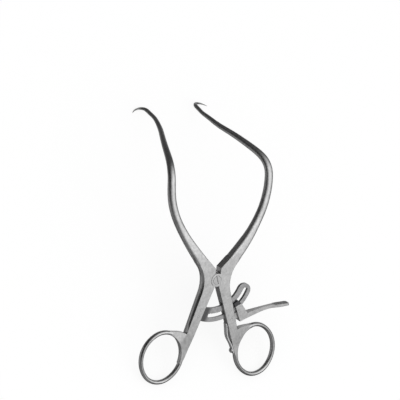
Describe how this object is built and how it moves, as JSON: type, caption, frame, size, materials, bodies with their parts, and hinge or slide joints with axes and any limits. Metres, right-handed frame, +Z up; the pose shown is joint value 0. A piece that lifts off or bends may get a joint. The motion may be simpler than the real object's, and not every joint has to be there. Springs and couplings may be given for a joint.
{
  "type": "self retaining retractor",
  "caption": "Hand-held self retaining retractor with elbowed arms ending in sharp outward hooks, finger rings, slotted ratchet bar and thumb release lever.",
  "frame": {"origin": "centre of the joint's flat back face, on the axis that both halves turn about", "axes": "+Y from the finger rings to the hooked tips, +X to the side that carries the release lever, +Z up from the surface that the rings and the hooks' crests rest on"},
  "size_m": [0.1091, 0.1812, 0.0573],
  "materials": {
    "forged_steel": "satin ground stainless steel",
    "bar_steel": "satin hardened stainless steel",
    "screw_steel": "turned stainless steel",
    "spring_steel": "rolled spring steel"
  },
  "bodies": {
    "left_side": {"left_half": "forged_steel", "joint_screw": "screw_steel", "ratchet_bar": "bar_steel", "bar_rivets": "forged_steel"},
    "right_side": {"right_half": "forged_steel", "lever_pin": "forged_steel", "leaf_spring": "spring_steel", "spring_screw": "screw_steel"},
    "lever": {"release_lever": "forged_steel", "pawl": "bar_steel"}
  },
  "joints": [
    {"name": "tips_hinge", "type": "hinge", "parent": "left_side", "child": "right_side", "pos_m": [0, 0, 0], "axis": [0, -0.4283, 0.9037], "range_deg": [-33, 21]},
    {"name": "lever_hinge", "type": "hinge", "parent": "right_side", "child": "lever", "pos_m": [0.01372, -0.02688, -0.00936], "axis": [0, -0.4283, 0.9037], "range_deg": [-4.5, 0], "stiffness_Nm_per_rad": 0.5, "springref_deg": 3.44, "deforming": ["leaf_spring"]}
  ]
}
